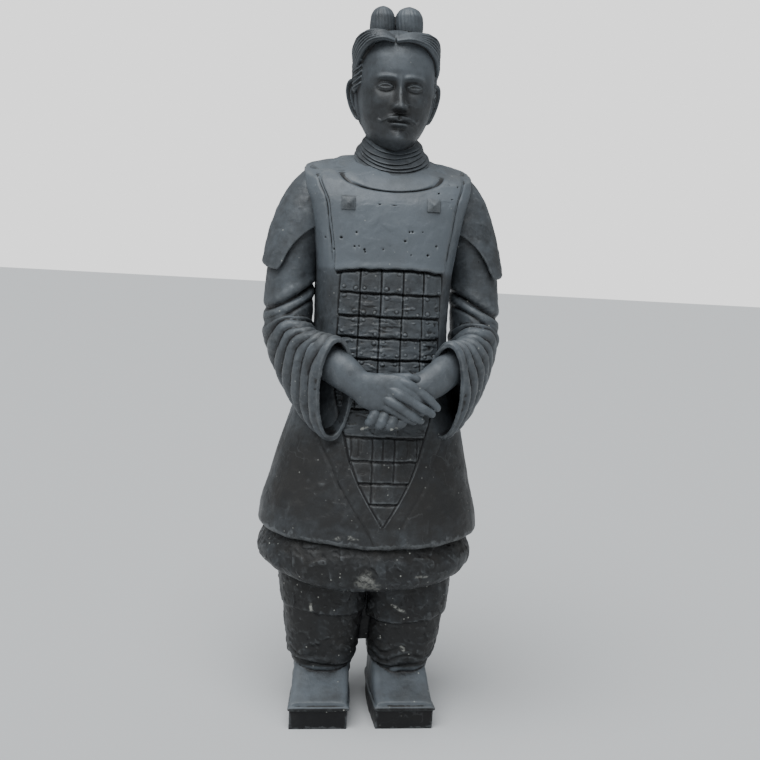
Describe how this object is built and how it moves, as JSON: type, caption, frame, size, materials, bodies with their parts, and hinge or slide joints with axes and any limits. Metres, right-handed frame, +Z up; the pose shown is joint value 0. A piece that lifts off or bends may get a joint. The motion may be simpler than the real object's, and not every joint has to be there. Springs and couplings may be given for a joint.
{
  "type": "standing armoured warrior statue",
  "caption": "Life-size standing warrior statue in scale armour over a flared coat, hands folded before the waist, hair in a two-lobed knot, cast in one piece.",
  "frame": {"origin": "middle of the figure's bounding box in plan, at the level of the soles", "axes": "+Z up from the soles to the hair knot, the figure faces -Y, +X towards the figure's left hand"},
  "size_m": [0.6188, 0.4776, 1.8005],
  "materials": {
    "dark_fired_clay": "dark grey-black fired clay, satin where rubbed, dusty in the hollows"
  },
  "bodies": {
    "root": {"warrior": "dark_fired_clay"}
  },
  "joints": []
}
